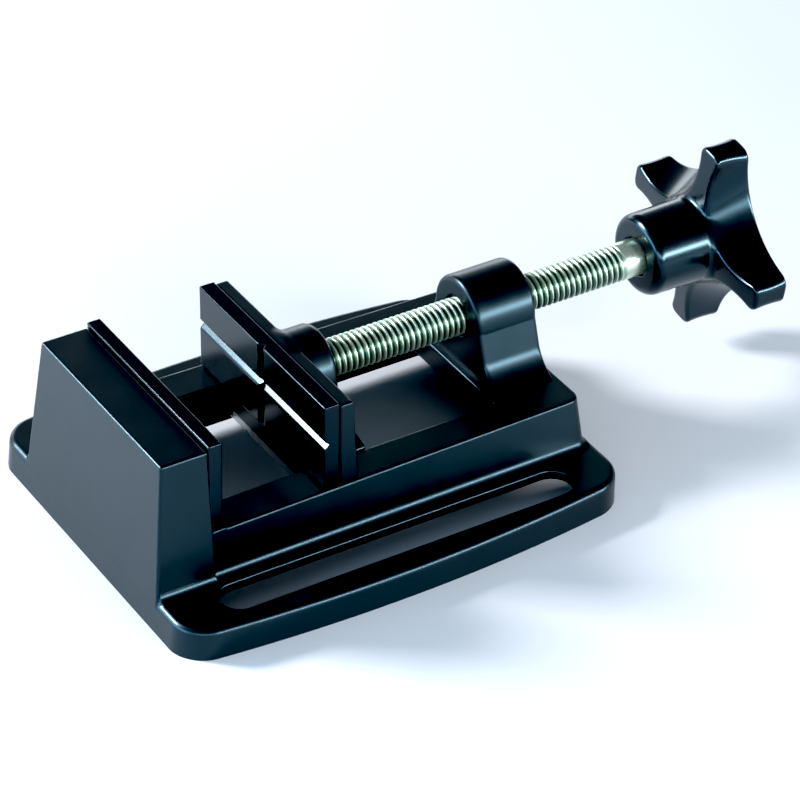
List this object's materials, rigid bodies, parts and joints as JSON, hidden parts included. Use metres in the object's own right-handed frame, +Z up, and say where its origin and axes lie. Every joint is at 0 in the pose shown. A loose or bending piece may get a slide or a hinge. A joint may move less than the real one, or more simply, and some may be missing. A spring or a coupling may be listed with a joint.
{
  "type": "machine vise",
  "caption": "Low machine vise with slotted side flanges, a fixed jaw, a screw-driven prism jaw sliding between two rails and a lobed hand grip.",
  "frame": {"origin": "bottom centre of the whole vise as stored: midway between the jaw end of the base and the end of the grip, on the surface the base stands on", "axes": "+X along the spindle from the fixed jaw to the grip, +Z up, +Y completes a right-handed frame across the jaws"},
  "size_m": [0.2282, 0.1294, 0.0774],
  "materials": {
    "cast_black": "gloss black paint on a die casting",
    "jaw_black": "satin black coating on steel",
    "zinc_steel": "zinc plated with a faint green and yellow tint",
    "bright_steel": "plain machined steel",
    "dark_steel": "blackened steel",
    "grip_black": "moulded phenolic, gloss black"
  },
  "bodies": {
    "base": {"base_casting": "cast_black", "fixed_jaw_plate": "jaw_black", "fixed_plate_screw_far": "dark_steel", "fixed_plate_screw_near": "dark_steel", "spindle_nut": "dark_steel", "nut_set_screw": "dark_steel"},
    "moving_jaw": {"moving_jaw_body": "cast_black", "moving_jaw_plate": "jaw_black", "moving_plate_screw_far": "dark_steel", "moving_plate_screw_near": "dark_steel", "keeper_plate": "bright_steel", "keeper_screw_far": "bright_steel", "keeper_screw_near": "bright_steel", "keeper_washer_far": "bright_steel", "keeper_washer_near": "bright_steel", "journal_pin_far": "dark_steel", "journal_pin_near": "dark_steel"},
    "spindle_and_grip": {"spindle": "zinc_steel", "knob": "grip_black", "knob_insert": "bright_steel", "knob_roll_pin": "dark_steel"}
  },
  "joints": [
    {"name": "jaw_slide", "type": "slide", "parent": "base", "child": "moving_jaw", "axis": [1, 0, 0], "range_m": [-0.0335, 0.044]},
    {"name": "spindle_turn", "type": "hinge", "parent": "moving_jaw", "child": "spindle_and_grip", "pos_m": [-0.02835, 0, 0.0432], "axis": [1, 0, 0], "range_deg": [-6040, 7930]}
  ],
  "couplings": [
    {"joint": "spindle_turn", "follows": "jaw_slide", "rad_per_m": 3141.6}
  ]
}
